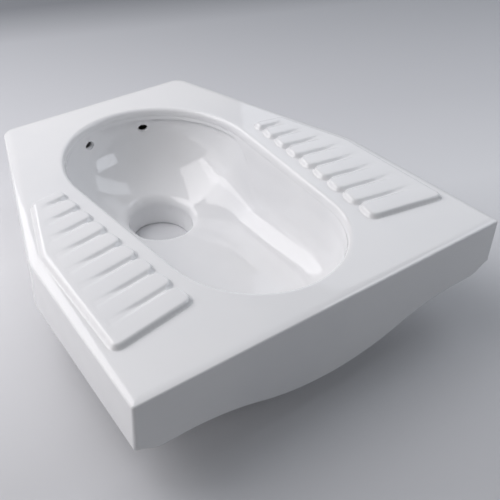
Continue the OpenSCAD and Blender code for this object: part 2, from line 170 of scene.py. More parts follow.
DECK_WIDTH, KNEE_WIDTH, REAR_WIDTH = 550.0, 510.0, 300.0
KNEE_Y = 258.0
DECK_THICKNESS = 12.0
EDGE_BEND, EDGE_SLANT, EDGE_NOSE = 40.0, 1.5, 3.0
EDGE_TILT = math.radians(12)
FRONT_CORNER, KNEE_RADIUS, REAR_CORNER = 4.0, 90.0, 22.0
SKIRT_HEIGHT, SKIRT_THICKNESS, SKIRT_EDGE, SKIRT_FILLET = 67.0, 10.0, 3.0, 6.0
APRON_DROP, APRON_FADE = 13.0, 34.0
BELLY_DROP, BELLY_HALF = 36.0, 218.0
MOUTH_REAR_R, MOUTH_REAR_Y = 135.0, 369.0
MOUTH_FRONT_R, MOUTH_FRONT_Y = 123.0, 165.0
LIP_RADIUS, DRAWN_IN = 6.5, 3.0
WALL_DRAFT = math.radians(8)
FLAT_RUN, LEAST_CORNER = 1.0, 0.8
SHARP_TURN = math.radians(38)
CORNER_CUTS, REAR_CORNER_CUTS = 14, 18
FRONT_CUTS, SIDE_CUTS, REAR_CUTS = 70, 24, 14
SKIRT_STEPS, NOSE_STEPS, BEND_STEPS, LIP_STEPS = 5, 9, 7, 15
MOUTH_FRONT_POINTS, MOUTH_REAR_POINTS, MOUTH_SIDE_CUTS = 49, 61, 30


def unit(v):
    return v / np.linalg.norm(v)


def cross2(a, b):
    return a[0] * b[1] - a[1] * b[0]


def meet(p, u, q, v):
    """The point where the line from p along u crosses the line from q along v."""
    return p + u * cross2(q - p, v) / cross2(u, v)


def corner_arc(before, corner, after, radius, cuts):
    """The points of a corner rounded off by a radius."""
    u, v = unit(before - corner), unit(after - corner)
    half_angle = math.acos(float(u @ v)) / 2
    centre = corner + unit(u + v) * radius / math.sin(half_angle)
    start = corner + u * radius / math.tan(half_angle) - centre
    first = math.atan2(start[1], start[0])
    angles = first + (math.pi - 2 * half_angle) * np.linspace(0, 1, cuts + 1)
    return centre + radius * np.stack([np.cos(angles), np.sin(angles)], 1)


def side_corners(inset):
    """The toe, knee and heel corners of the right side, moved in from the edge."""
    a = np.array([DECK_WIDTH / 2, 0.0])
    k = np.array([KNEE_WIDTH / 2, KNEE_Y])
    b = np.array([REAR_WIDTH / 2, DECK_DEPTH])
    low, high = unit(k - a), unit(b - k)
    p = a + inset * np.array([-low[1], low[0]])
    q = b + inset * np.array([-high[1], high[0]])
    across = np.array([1.0, 0.0])
    return (meet(np.array([0, inset]), across, p, low), meet(p, low, q, high),
            meet(np.array([0, DECK_DEPTH - inset]), across, q, high))


def between(a, b, cuts):
    """The points that cut a straight line, without its ends."""
    return a + (b - a) * np.linspace(0, 1, cuts + 1)[1:-1, None]


def mirrored(half_line):
    """Closes a right half, whose ends lie on the middle line, with its mirror image."""
    back = half_line[-2:0:-1] * [-1, 1]
    return np.concatenate([half_line, back])


def deck_outline(inset):
    """The deck's outline with its rounded corners, moved in from the edge."""
    toe, knee, heel = side_corners(inset)
    front, rear = np.array([0, inset]), np.array([0, DECK_DEPTH - inset])
    c1 = corner_arc(front, toe, knee, max(FRONT_CORNER - inset, LEAST_CORNER), CORNER_CUTS)
    c2 = corner_arc(toe, knee, heel, KNEE_RADIUS - inset, CORNER_CUTS)
    c3 = corner_arc(knee, heel, rear, REAR_CORNER - inset, REAR_CORNER_CUTS)
    return mirrored(np.concatenate([
        [front], between(front, c1[0], FRONT_CUTS), c1, between(c1[-1], c2[0], SIDE_CUTS), c2,
        between(c2[-1], c3[0], SIDE_CUTS), c3, between(c3[-1], rear, REAR_CUTS), [rear]]))


def mouth_outline(inset):
    """The mouth's outline, two arcs with straight sides between them, moved in from the edge."""
    rear_r, front_r = MOUTH_REAR_R - inset, MOUTH_FRONT_R - inset
    lean = math.asin((rear_r - front_r) / (MOUTH_REAR_Y - MOUTH_FRONT_Y))
    front_c, rear_c = np.array([0, MOUTH_FRONT_Y]), np.array([0, MOUTH_REAR_Y])
    turns = np.linspace(-math.pi / 2, -lean, MOUTH_FRONT_POINTS)
    f = front_c + front_r * np.stack([np.cos(turns), np.sin(turns)], 1)
    turns = np.linspace(-lean, math.pi / 2, MOUTH_REAR_POINTS)
    r = rear_c + rear_r * np.stack([np.cos(turns), np.sin(turns)], 1)
    return mirrored(np.concatenate([f, between(f[-1], r[0], MOUTH_SIDE_CUTS), r]))


def lifted(line, z):
    """A flat line of points at a height."""
    return np.column_stack([line, np.broadcast_to(z, len(line))])


def belly(x):
    """How far the apron's lower edge bellies down: two arcs that meet tangent."""
    r = ((BELLY_HALF / 2) ** 2 + (BELLY_DROP / 2) ** 2) / BELLY_DROP
    a = np.abs(x)
    inner = BELLY_DROP - r + np.sqrt(np.maximum(r * r - a * a, 0))
    outer = r - np.sqrt(np.maximum(r * r - (BELLY_HALF - a) ** 2, 0))
    return np.where(a < BELLY_HALF / 2, inner, np.where(a < BELLY_HALF, outer, 0))


def skirt_drop(edge):
    """How far the skirt's lower edge lies below the deck's top."""
    x, y = edge[:, 0], edge[:, 1]
    run = np.clip((DECK_WIDTH / 2 - np.abs(x)) / APRON_FADE, 0, 1)
    share = np.where(y < FRONT_CORNER, (1 - np.cos(math.pi * run)) / 2, 0)
    return SKIRT_HEIGHT + (APRON_DROP + belly(x)) * share


def quarter(cuts):
    """The angles that cut a quarter turn."""
    return np.linspace(0, math.pi / 2, cuts + 1)


def add_rings(mesh, rings):
    """Adds rings of equal length to a bmesh as one band of quads, and returns them."""
    made = [[mesh.verts.new(p) for p in placed(ring)] for ring in rings]
    n = len(made[0])
    for low, high in zip(made, made[1:]):
        for i in range(n):
            mesh.faces.new((low[i], low[(i + 1) % n], high[(i + 1) % n], high[i]))
    return made


def side_angles(ring):
    """How far round the pan each side of a ring of vertices lies."""
    places = np.array([v.co[:2] for v in ring])
    middle = (places + np.roll(places, -1, 0)) / 2
    return np.mod(np.arctan2(middle[:, 1], middle[:, 0]) + math.pi / 2, 2 * math.pi)


def fill_between(mesh, outer, inner):
    """Fills the flat space between two rings with different numbers of vertices."""
    a, b = side_angles(outer), side_angles(inner)
    for i, angle in enumerate(a):
        k = int((b < angle).sum()) % len(inner)
        mesh.faces.new((outer[i], outer[(i + 1) % len(outer)], inner[k]))
    for i, angle in enumerate(b):
        k = int((a <= angle).sum()) % len(outer)
        mesh.faces.new((inner[(i + 1) % len(inner)], inner[i], outer[k]))


def shade(data):
    """Shades a mesh smooth, except over edges that turn sharply."""
    data.shade_smooth()
    data.set_sharp_from_angle(angle=SHARP_TURN)


def finished(name, mesh, material):
    """Turns a bmesh into an object of the scene, with its faces outwards."""
    bmesh.ops.recalc_face_normals(mesh, faces=mesh.faces)
    data = bpy.data.meshes.new(name)
    mesh.to_mesh(data)
    mesh.free()
    data.materials.append(material)
    shade(data)
    made = bpy.data.objects.new(name, data)
    scene.collection.objects.link(made)
    return made


def edge_rings():
    """The upper edge: a tight nose, a slanting band and a soft bend into the flat top.

    A ring FLAT_RUN past a bend, here and below, keeps the shading of the flat face beside it.
    """
    band_top = -EDGE_BEND * (1 - math.cos(EDGE_TILT))
    nose_middle = band_top - EDGE_SLANT * math.tan(EDGE_TILT) - EDGE_NOSE * math.cos(EDGE_TILT)
    band_in = EDGE_NOSE * (1 - math.sin(EDGE_TILT)) + EDGE_SLANT
    rings = [lifted(deck_outline(0), nose_middle - FLAT_RUN)]
    for t in np.linspace(math.pi / 2, EDGE_TILT, NOSE_STEPS):
        line = deck_outline(EDGE_NOSE * (1 - math.sin(t)))
        rings.append(lifted(line, nose_middle + EDGE_NOSE * math.cos(t)))
    for t in np.linspace(EDGE_TILT, 0, BEND_STEPS):
        inset = band_in + EDGE_BEND * (math.sin(EDGE_TILT) - math.sin(t))
        rings.append(lifted(deck_outline(inset), -EDGE_BEND * (1 - math.cos(t))))
    rings.append(lifted(deck_outline(inset + FLAT_RUN), 0))
    return rings


def deck_rings():
    """The deck's outside, from under the plate down the skirt, round its foot and up."""
    edge = deck_outline(0)
    drop = skirt_drop(edge)
    rings = [lifted(deck_outline(SKIRT_THICKNESS + SKIRT_FILLET + FLAT_RUN), -DECK_THICKNESS)]
    for t in quarter(SKIRT_STEPS):
        line = deck_outline(SKIRT_THICKNESS + SKIRT_FILLET * (1 - math.sin(t)))
        rings.append(lifted(line, -DECK_THICKNESS - SKIRT_FILLET * (1 - math.cos(t))))
    rings.append(lifted(deck_outline(SKIRT_THICKNESS), SKIRT_EDGE - drop))
    for t in quarter(SKIRT_STEPS)[1:]:
        line = deck_outline(SKIRT_THICKNESS - SKIRT_EDGE * (1 - math.cos(t)))
        rings.append(lifted(line, SKIRT_EDGE * (1 - math.sin(t)) - drop))
    for t in quarter(SKIRT_STEPS):
        line = deck_outline(SKIRT_EDGE * (1 - math.sin(t)))
        rings.append(lifted(line, SKIRT_EDGE * (1 - math.cos(t)) - drop))
    rings.append(lifted(edge, SKIRT_EDGE + 1.5 * FLAT_RUN - drop))
    return rings + edge_rings()


# How far in from the mouth's edge the straight wall passes the plate's underside.
lip_foot = (LIP_RADIUS * (math.cos(WALL_DRAFT) - 1)
            + (DECK_THICKNESS - LIP_RADIUS * (1 - math.sin(WALL_DRAFT))) * math.tan(WALL_DRAFT))


def lip_rings():
    """The mouth's lip, from the deck's flat top down through the plate."""
    rings = [lifted(mouth_outline(DRAWN_IN - LIP_RADIUS - FLAT_RUN), 0)]
    for t in np.linspace(0, math.pi / 2 - WALL_DRAFT, LIP_STEPS):
        line = mouth_outline(DRAWN_IN + LIP_RADIUS * (math.sin(t) - 1))
        rings.append(lifted(line, LIP_RADIUS * (math.cos(t) - 1)))
    rings.append(lifted(mouth_outline(DRAWN_IN + lip_foot), -DECK_THICKNESS))
    rings.append(lifted(mouth_outline(DRAWN_IN + lip_foot - FLAT_RUN / 2), -DECK_THICKNESS - FLAT_RUN))
    return rings


def spread(graph, places, inputs):
    """A noise over the object's own coordinates, from 0 to 1."""
    return graph.node("ShaderNodeTexNoise", None, {"Vector": places, **inputs})


GLAZE_WHITE, GLAZE_SHADE = (0.82, 0.822, 0.83), (0.78, 0.785, 0.80)

glaze, g = new_material("white_glaze")
place = g.node("ShaderNodeTexCoord", output="Object")
cloud = spread(g, place, {"Scale": 6.0, "Detail": 3.0, "Roughness": 0.5})
colour = g.node("ShaderNodeValToRGB", {"stops": [(0.3, GLAZE_SHADE), (0.62, GLAZE_WHITE)]}, {"Fac": cloud})
flow = spread(g, place, {"Scale": 14.0, "Detail": 1.0})
peel = spread(g, place, {"Scale": 260.0, "Detail": 2.0})
waves = g.node("ShaderNodeBump", None, {"Strength": 0.2, "Distance": 0.004, "Height": flow})
skin = g.node("ShaderNodeBump", None, {
    "Strength": 0.02, "Distance": 0.001, "Height": peel, "Normal": waves})
surface = g.node("ShaderNodeBsdfPrincipled", None, {
    "Base Color": colour, "Roughness": 0.04 + peel * 0.03, "IOR": 1.5, "Normal": skin})
g.node("ShaderNodeOutputMaterial", None, {"Surface": surface})

body = bmesh.new()
outer_rings = add_rings(body, deck_rings())
inner_rings = add_rings(body, lip_rings())
fill_between(body, outer_rings[-1], inner_rings[0])
fill_between(body, outer_rings[0], inner_rings[-1])
deck = finished("deck_top", body, glaze)
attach(deck, "root")
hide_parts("deck")

# ---- Basin -------------------------------------------------------------------------
# The bowl under the mouth, cast in two skins and luted to the deck. Its floor falls to
# the drain from both ends, and two round jets in its rear wall let the flush water in.

BASIN_THICKNESS = 10.0
DRAIN_DEPTH, DRAIN_Y = 112.0, 374.0
FLOOR_SLOPE, SLOPE_ROUND = 0.072, 60.0
FLOOR_RADIUS, FUNNEL_RADIUS = 48.0, 110.0
FUNNEL_START, FUNNEL_FULL = 295.0, 378.0
DRAWN_DEPTH = 33.0
THROAT_R, DRAIN_LIP, FUNNEL_LIP = 46.0, 8.0, 12.0
THROAT_TOP = DRAIN_DEPTH + DRAIN_LIP + 0.5
COLLAR_R = THROAT_R + DRAIN_LIP + 2
JET_ANGLE, JET_DEPTH, JET_START = math.radians(20.5), 30.5, 30.0
JET_WIDE, JET_HIGH = 1.15, 0.82
JET_CUTS = 40
WALL_STEPS, TURN_STEPS, FLOOR_STEPS, RIM_STEPS, UNDER_STEPS = 24, 30, 16, 15, 12
JET_PROFILE = [(7.4, 0), (7.4, 25.4), (6.4, 26.4), (5.8, 27.6), (5.8, 29.6), (9.5, 33), (9.5, 60)]

mouth_edge = mouth_outline(0)
mouth_inward = mouth_outline(1) - mouth_edge


def inwards(inset):
    """Points inside the mouth's edge, each by its own inset."""
    return mouth_edge + mouth_inward * np.broadcast_to(inset, len(mouth_edge))[:, None]


def smooth_step(share):
    """A share from 0 to 1 that starts and ends without a corner."""
    share = np.clip(share, 0, 1)
    return share * share * (3 - 2 * share)


def floor_depth(y):
    """How deep the bowl's floor lies, deepest at the drain."""
    away = np.sqrt((y - DRAIN_Y) ** 2 + SLOPE_ROUND ** 2) - SLOPE_ROUND
    return DRAIN_DEPTH - FLOOR_SLOPE * away


def bowl_ring(inset, depth, sunk=0.0):
    """A ring of the bowl, whose depth follows the floor's, sunk below it for the outside."""
    line = inwards(inset)
    share = (floor_depth(line[:, 1]) - DECK_THICKNESS) / (DRAIN_DEPTH - DECK_THICKNESS)
    return lifted(line, -DECK_THICKNESS - (depth - DECK_THICKNESS) * share - sunk)


def straight_depth(radius):
    """The depth at which the straight wall ends and bends in by a radius."""
    return DRAIN_DEPTH - radius * (1 - math.sin(WALL_DRAFT))


def floor_inset(radius):
    """The inset at which a wall that bends in by a radius has become level."""
    wall = (straight_depth(radius) - DECK_THICKNESS) * math.tan(WALL_DRAFT)
    return lip_foot + wall + radius * math.cos(WALL_DRAFT)


def wall_profile(thickness, radius, last, drawn_in):
    """The rings of one skin of the bowl, from the deck down through its bend.

    The skin starts drawn in under the lip and comes back to the straight wall below it.
    """
    rings = [bowl_ring(lip_foot + drawn_in - thickness, DECK_THICKNESS)]
    for share in np.linspace(0, 1, WALL_STEPS)[1:-1]:
        depth = DECK_THICKNESS + (straight_depth(radius) - DECK_THICKNESS) * share
        inset = lip_foot + (depth - DECK_THICKNESS) * math.tan(WALL_DRAFT)
        inset = inset + drawn_in * (1 - smooth_step((depth - DECK_THICKNESS) / DRAWN_DEPTH))
        rings.append(bowl_ring(inset - thickness * math.cos(WALL_DRAFT), depth,
                               thickness * math.sin(WALL_DRAFT)))
    for share in np.linspace(0, 1, TURN_STEPS):
        t = WALL_DRAFT + (last - WALL_DRAFT) * share
        inset = floor_inset(radius) - (radius + thickness) * np.cos(t)
        rings.append(bowl_ring(inset, DRAIN_DEPTH - radius * (1 - np.sin(t)), thickness * np.sin(t)))
    return rings


def toward_drain(line, radius):
    """Points round the drain in the directions of the points of a line."""
    away = line[:, :2] - [0, DRAIN_Y]
    reach = np.broadcast_to(radius, len(away))[:, None]
    return [0, DRAIN_Y] + reach * away / np.linalg.norm(away, axis=1)[:, None]


def inner_skin():
    """The glazed inside. Its bend grows to the rear, where it sweeps down to the drain's rim.

    at_rim is the inset at which the bend reaches that rim, and where it does so before it
    is level, cosine and last say at what slope it meets the rim's own rounding.
    """
    grown = smooth_step((mouth_edge[:, 1] - FUNNEL_START) / (FUNNEL_FULL - FUNNEL_START))
    radius = FLOOR_RADIUS + (FUNNEL_RADIUS - FLOOR_RADIUS) * grown
    lip = DRAIN_LIP + (FUNNEL_LIP - DRAIN_LIP) * grown
    rim = THROAT_R + lip
    away = mouth_edge - [0, DRAIN_Y]
    b = np.sum(away * mouth_inward, 1)
    rest = b * b - np.sum(away * away, 1) + rim * rim
    at_rim = np.where(rest > 0, -b - np.sqrt(np.maximum(rest, 0)), np.inf)
    cosine = (floor_inset(radius) - np.minimum(at_rim, floor_inset(radius))) / radius
    last = np.arccos(cosine)
    rings = wall_profile(0, radius, last, DRAWN_IN)

    edge = rings[-1]
    start = toward_drain(edge, rim)
    level = np.where(cosine > 0, edge[:, 2], -floor_depth(start[:, 1]))
    for share in np.linspace(0, 1, FLOOR_STEPS)[1:]:
        line = edge[:, :2] + (start - edge[:, :2]) * share
        rings.append(lifted(line, np.where(cosine > 0, level, -floor_depth(line[:, 1]))))
    for share in np.linspace(0, 1, RIM_STEPS)[1:]:
        t = math.pi / 2 - last * (1 - share)
        line = toward_drain(edge, THROAT_R + lip * (1 - np.sin(t)) / (1 - cosine))
        rings.append(lifted(line, level - (level + THROAT_TOP) * (1 - np.cos(t) / np.sin(last))))
    return rings


def outer_skin():
    """The outside, from the collar round the drain up to the deck."""
    wall = wall_profile(BASIN_THICKNESS, FLOOR_RADIUS, math.pi / 2, 0)
    edge = inwards(floor_inset(FLOOR_RADIUS))
    rings = []
    for share in np.linspace(1, 0, UNDER_STEPS)[:-1]:
        line = edge + (toward_drain(edge, COLLAR_R) - edge) * share
        depth = floor_depth(line[:, 1]) * (1 - share) + DRAIN_DEPTH * share + BASIN_THICKNESS
        rings.append(lifted(line, -depth))
    return rings + wall[::-1]


def add_loop(mesh, rings):
    """Adds rings of equal length as a band whose last ring joins on to the first."""
    made = add_rings(mesh, rings)
    n = len(made[0])
    for i in range(n):
        mesh.faces.new((made[-1][i], made[-1][(i + 1) % n], made[0][(i + 1) % n], made[0][i]))


def add_plug(mesh, rings):
    """Adds rings with a face over each end, as a solid to cut with."""
    made = add_rings(mesh, rings)
    mesh.faces.new(made[0])
    mesh.faces.new(made[-1])


body = bmesh.new()
add_loop(body, inner_skin() + outer_skin())
basin = finished("basin_bowl", body, glaze)


def drill(target, cutter):
    """Cuts one object out of another for good."""
    cut = target.modifiers.new("drill", "BOOLEAN")
    cut.object, cut.operation, cut.solver = cutter, "DIFFERENCE", "EXACT"
    bpy.context.view_layer.update()
    data = bpy.data.meshes.new_from_object(target.evaluated_get(bpy.context.evaluated_depsgraph_get()))
    target.modifiers.clear()
    old, target.data = target.data, data
    data.name = old.name
    shade(data)
    bpy.data.meshes.remove(old)
    bpy.data.objects.remove(cutter)


body = bmesh.new()
for side in (-1, 1):
    out = np.array([side * math.sin(JET_ANGLE), math.cos(JET_ANGLE), 0])
    start = np.array([0, MOUTH_REAR_Y, -JET_DEPTH]) + out * (MOUTH_REAR_R - JET_START)
    turns = np.linspace(0, 2 * math.pi, JET_CUTS, endpoint=False)
    along = Matrix.Rotation(-side * JET_ANGLE, 3, "Z") @ Matrix.Rotation(-math.pi / 2, 3, "X")
    oval = np.column_stack([JET_WIDE * np.cos(turns), JET_HIGH * np.sin(turns), 0 * turns])
    circle = oval @ np.array(along).T
    add_plug(body, [start + r * circle + out * run for r, run in JET_PROFILE])
drill(basin, finished("jet_drill", body, glaze))
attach(basin, "root")
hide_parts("basin")

# ---- Outlet ------------------------------------------------------------------------
# The throat below the drain's rounded lip narrows to the bore of the spigot, which goes
# into the soil pipe. A lipped rubber ring sits in a seat round it.

BORE_R, SPIGOT_R, SEAT_R = 41.5, 51.0, 50.0
TAPER, RIM_EDGE, BORE_EDGE = 26.0, 4.0, 3.0
SEAL_TOP, SEAL_BOTTOM = -124.0, -138.0
ROUND_CUTS, RIM_CUTS, TAPER_STEPS = 96, 6, 15

profile = [(COLLAR_R, -DRAIN_DEPTH - BASIN_THICKNESS), (SEAT_R, SEAL_TOP), (SEAT_R, SEAL_BOTTOM),
           (SPIGOT_R, SEAL_BOTTOM)]
for t in quarter(RIM_CUTS):
    profile.append((SPIGOT_R - RIM_EDGE * (1 - math.cos(t)), RIM_EDGE * (1 - math.sin(t)) - DECK_HEIGHT))
for t in quarter(RIM_CUTS):
    profile.append((BORE_R + BORE_EDGE * (1 - math.sin(t)), BORE_EDGE * (1 - math.cos(t)) - DECK_HEIGHT))
for share in np.linspace(0, 1, TAPER_STEPS):
    narrowed = BORE_R + (THROAT_R - BORE_R) * (1 - math.cos(math.pi * share)) / 2
    profile.append((narrowed, -THROAT_TOP - TAPER * (1 - share)))

turns = np.linspace(0, 2 * math.pi, ROUND_CUTS, endpoint=False)
circle = np.column_stack([np.cos(turns), np.sin(turns)])
body = bmesh.new()
add_loop(body, [lifted([0, DRAIN_Y] + radius * circle, height) for radius, height in profile])
spigot = finished("drain_spigot", body, glaze)
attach(spigot, "root")
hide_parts("outlet_spigot")

RUBBER_DARK, RUBBER_BLOOM = (0.022, 0.022, 0.024), (0.05, 0.05, 0.052)

rubber, g = new_material("seal_rubber")
place = g.node("ShaderNodeTexCoord", output="Object")
bloom = spread(g, place, {"Scale": 60.0, "Detail": 4.0})
colour = g.node("ShaderNodeValToRGB", {"stops": [(0.35, RUBBER_DARK), (0.7, RUBBER_BLOOM)]}, {"Fac": bloom})
grain = g.node("ShaderNodeBump", None, {"Strength": 0.2, "Distance": 0.0004, "Height": bloom})
surface = g.node("ShaderNodeBsdfPrincipled", None, {
    "Base Color": colour, "Roughness": 0.55 + bloom * 0.2, "Normal": grain})
g.node("ShaderNodeOutputMaterial", None, {"Surface": surface})
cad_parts["outlet_seal"].data.materials.clear()
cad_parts["outlet_seal"].data.materials.append(rubber)

# ---- Foot treads -------------------------------------------------------------------
# Two raised patches of the same casting, each a bead along the outer side with ribs that
# run in and a little back from it to blunt round tips beside the mouth.

TREAD_TOE, TREAD_MARGIN, KNEE_OUT = 83.0, 19.0, 5.0
TIP_TOE_X, TIP_HEEL_X = 136.0, 156.0
RIB_HEIGHT, RIB_EDGE, RIB_CROWN, RIB_FULLNESS = 6.5, 4.4, 0.06, 0.6
BEAD_WIDTH = 17.0
RIB_COUNT, RIB_PITCH, PITCH_STEP = 7, 35.0, 0.85
HEEL_GAP, HEEL_WIDTH = 3.5, 15.5
GROOVE_WIDTH, GROOVE_FLOOR, GROOVE_TIP = 2.6, 3.0, 0.6
GROOVE_START, GROOVE_END = 0.42, 0.86
RIB_SPLAY = math.radians(9.5)
END_SQUARENESS = 3.0
TREAD_GRID, SUNK_EDGE, BLUR_STEPS = 1.0, 0.08, 3
ROOM_TIP, ROOM_SIDE, ROOM_TOE, ROOM_HEEL = 14, 6, 16, 12
TREAD_HEEL = (TREAD_TOE + RIB_PITCH * (RIB_COUNT + 1) - PITCH_STEP * (RIB_COUNT + 1) * RIB_COUNT / 2
              + HEEL_GAP + HEEL_WIDTH)


class Shape(Graph):
    """A Geometry Nodes tree with named inputs, run once on an empty mesh."""

    def __init__(self, name):
        super().__init__(bpy.data.node_groups.new(name, "GeometryNodeTree"))
        self.tree.interface.new_socket("Geometry", in_out="OUTPUT", socket_type="NodeSocketGeometry")
        self.values = {}
        self.start = self.tree.nodes.new("NodeGroupInput")

    def size(self, name, value):
        item = self.tree.interface.new_socket(name, in_out="INPUT", socket_type="NodeSocketFloat")
        self.values[item.identifier] = float(value)
        return Socket(self, self.start.outputs[name])

    def made(self, name, geometry, material):
        """Ends the tree, runs it and keeps what comes out as a plain mesh."""
        whole = self.node("GeometryNodeRealizeInstances", None, {"Geometry": geometry})
        glazed = self.node("GeometryNodeSetMaterial", None, {"Geometry": whole, "Material": material})
        end = self.tree.nodes.new("NodeGroupOutput")
        self.tree.links.new(glazed.socket, end.inputs["Geometry"])
        piece = bpy.data.objects.new(name, bpy.data.meshes.new(name))
        scene.collection.objects.link(piece)
        grower = piece.modifiers.new("grow", "NODES")
        grower.node_group = self.tree
        for identifier, value in self.values.items():
            grower[identifier] = value
        bpy.context.view_layer.update()
        data = bpy.data.meshes.new_from_object(piece.evaluated_get(bpy.context.evaluated_depsgraph_get()))
        piece.modifiers.clear()
        empty, piece.data = piece.data, data
        bpy.data.meshes.remove(empty)
        data.name = name
        return piece


tip_run = (TIP_HEEL_X - TIP_TOE_X) / (TREAD_HEEL - TREAD_TOE)
middle_x = (TIP_TOE_X + DECK_WIDTH / 2 - TREAD_MARGIN) / 2
bead_toe, bead_knee, bead_heel = side_corners(TREAD_MARGIN + BEAD_WIDTH / 2)
bead_knee = bead_knee + [KNEE_OUT, 0]


def tread_shape(hand):
    """The height of a tread over the deck, raised rib by rib on a fine grid."""
    s = Shape("tread_ribs")
    height = s.size("Rib height", RIB_HEIGHT)
    pitch, step = s.size("Rib pitch", RIB_PITCH), s.size("Pitch step", PITCH_STEP)
    groove, thin = s.size("Groove width", GROOVE_WIDTH), s.size("Groove floor", GROOVE_FLOOR)
    toe, heel = s.size("Toe", TREAD_TOE), s.size("Heel", TREAD_HEEL)
    count = s.size("Ribs", RIB_COUNT)
    bead = s.size("Bead width", BEAD_WIDTH)
    side = s.size("Hand", hand)
    low_x, high_x = TIP_TOE_X - ROOM_TIP, DECK_WIDTH / 2 - ROOM_SIDE
    low_y, high_y = TREAD_TOE - ROOM_TOE, TREAD_HEEL + ROOM_HEEL
    columns, rows = int((high_x - low_x) / TREAD_GRID), int((high_y - low_y) / TREAD_GRID)
    sheet = s.node("GeometryNodeMeshGrid", None, {
        "Size X": high_x - low_x, "Size Y": high_y - low_y, "Vertices X": columns, "Vertices Y": rows})
    where = s.node("GeometryNodeInputPosition")
    sideways = s.node("ShaderNodeSeparateXYZ", None, {"Vector": where})
    x = sideways + (low_x + high_x) / 2
    y = sideways.beside("Y") + (low_y + high_y) / 2

    def bar(away, width, top):
        """The height of a nearly flat bar with rounded sides, away from its middle line."""
        into = s.maths("MAXIMUM", width * 0.5 - away, 0.0)
        bent = 1.0 - s.maths("MINIMUM", into / RIB_EDGE, 1.0)
        share = away / (width * 0.5)
        return s.maths("POWER", 1.0 - bent * bent, RIB_FULLNESS) * top * (1.0 - share * share * RIB_CROWN)

    def from_end(past, across):
        """The distance from a bar's middle line, with a squarish round past its end."""
        past = s.maths("POWER", s.maths("MAXIMUM", past, 0.0), END_SQUARENESS)
        across = s.maths("POWER", s.maths("ABSOLUTE", across), END_SQUARENESS)
        return s.maths("POWER", past + across, 1 / END_SQUARENESS)

    def leg_distance(a, b):
        """The distance from a straight leg between two points of the deck."""
        run = b - a
        length = float(np.linalg.norm(run))
        dx, dy = run / length
        along = (x - float(a[0])) * dx + (y - float(a[1])) * dy
        kept = s.maths("MAXIMUM", s.maths("MINIMUM", along, length), 0.0)
        ox = x - (kept * dx + float(a[0]))
        oy = y - (kept * dy + float(a[1]))
        return s.maths("SQRT", ox * ox + oy * oy)

    def keep(geometry, value):
        """Stores at each point of the sheet how high it is raised."""
        return s.node("GeometryNodeStoreNamedAttribute", {"data_type": "FLOAT", "domain": "POINT"}, {
            "Geometry": geometry, "Name": "raised", "Value": value})

    def reached():
        """How high each point has been raised so far."""
        return s.node("GeometryNodeInputNamedAttribute", {"data_type": "FLOAT"}, {"Name": "raised"})

    low_dir, high_dir = unit(bead_knee - bead_toe), unit(bead_heel - bead_knee)
    across_deck = np.array([-math.cos(RIB_SPLAY), math.sin(RIB_SPLAY)])
    first = meet(bead_toe, low_dir, np.array([middle_x, TREAD_TOE + BEAD_WIDTH / 2]), across_deck)
    last = meet(bead_knee, high_dir, np.array([middle_x, TREAD_HEEL - BEAD_WIDTH / 2]), across_deck)
    edge = s.maths("MINIMUM", leg_distance(first, bead_knee), leg_distance(bead_knee, last))
    begun = keep(sheet, bar(edge, bead, height))

    loop_in = s.tree.nodes.new("GeometryNodeRepeatInput")
    loop_out = s.tree.nodes.new("GeometryNodeRepeatOutput")
    loop_in.pair_with_output(loop_out)
    loop_out.repeat_items.clear()
    loop_out.repeat_items.new("GEOMETRY", "Sheet")
    loop_out.repeat_items.new("FLOAT", "Rib")
    s.tree.links.new((count + 2.0).socket, loop_in.inputs["Iterations"])
    s.tree.links.new(begun.socket, loop_in.inputs["Sheet"])
    rib = Socket(s, loop_in.outputs["Rib"])
    sheet = Socket(s, loop_in.outputs["Sheet"])
    cos_s, sin_s = math.cos(RIB_SPLAY), math.sin(RIB_SPLAY)

    def groove_y(k):
        return toe + pitch * k - step * k * (k - 1.0) * 0.5

    def measures(middle):
        """Along and across a line through the tread, with how far it reaches both ways."""
        tip = (middle_x - TIP_TOE_X - (middle - TREAD_TOE) * tip_run) / (cos_s + tip_run * sin_s)
        reach = None
        for point, way in ((bead_toe, low_dir), (bead_knee, high_dir)):
            lean = float(way[0] / way[1])
            out = (point[0] - middle_x + (middle - float(point[1])) * lean) / (cos_s + lean * sin_s)
            reach = out if reach is None else s.maths("MINIMUM", reach, out)
        along = (y - middle) * sin_s - (x - middle_x) * cos_s
        across = (y - middle) * cos_s + (x - middle_x) * sin_s
        return along, across, tip, reach

    is_toe = s.maths("LESS_THAN", rib, 0.5)
    is_heel = s.maths("GREATER_THAN", rib, count + 0.5)
    from_y = groove_y(rib) + groove * 0.5 * (1.0 - is_toe)
    to_y = (groove_y(rib + 1.0) - groove * 0.5) * (1.0 - is_heel) + heel * is_heel
    width = to_y - from_y
    along, across, tip, reach = measures((from_y + to_y) * 0.5)
    rib_top = bar(from_end(along - (tip - width * 0.5), across), width, height)
    rib_top = rib_top * s.maths("GREATER_THAN", along + reach, 0.0)

    along, across, tip, reach = measures(groove_y(rib))
    outwards = (tip - along) / (tip + reach)
    filled = s.node("ShaderNodeMapRange", {"interpolation_type": "SMOOTHSTEP"}, {
        "Value": outwards, "From Min": GROOVE_START, "From Max": GROOVE_END})
    away = from_end(along - (tip - pitch * GROOVE_TIP), across)
    floor_top = bar(away, groove + 4 * RIB_EDGE, thin + (height * (1.0 - RIB_CROWN) - thin) * filled)
    floor_top = floor_top * s.maths("GREATER_THAN", along + reach, 0.0) * (1.0 - is_toe)

    highest = s.maths("MAXIMUM", s.maths("MAXIMUM", rib_top, floor_top), reached())
    s.tree.links.new(keep(sheet, highest).socket, loop_out.inputs["Sheet"])
    s.tree.links.new((rib + 1.0).socket, loop_out.inputs["Rib"])
    grown = Socket(s, loop_out.outputs["Sheet"])

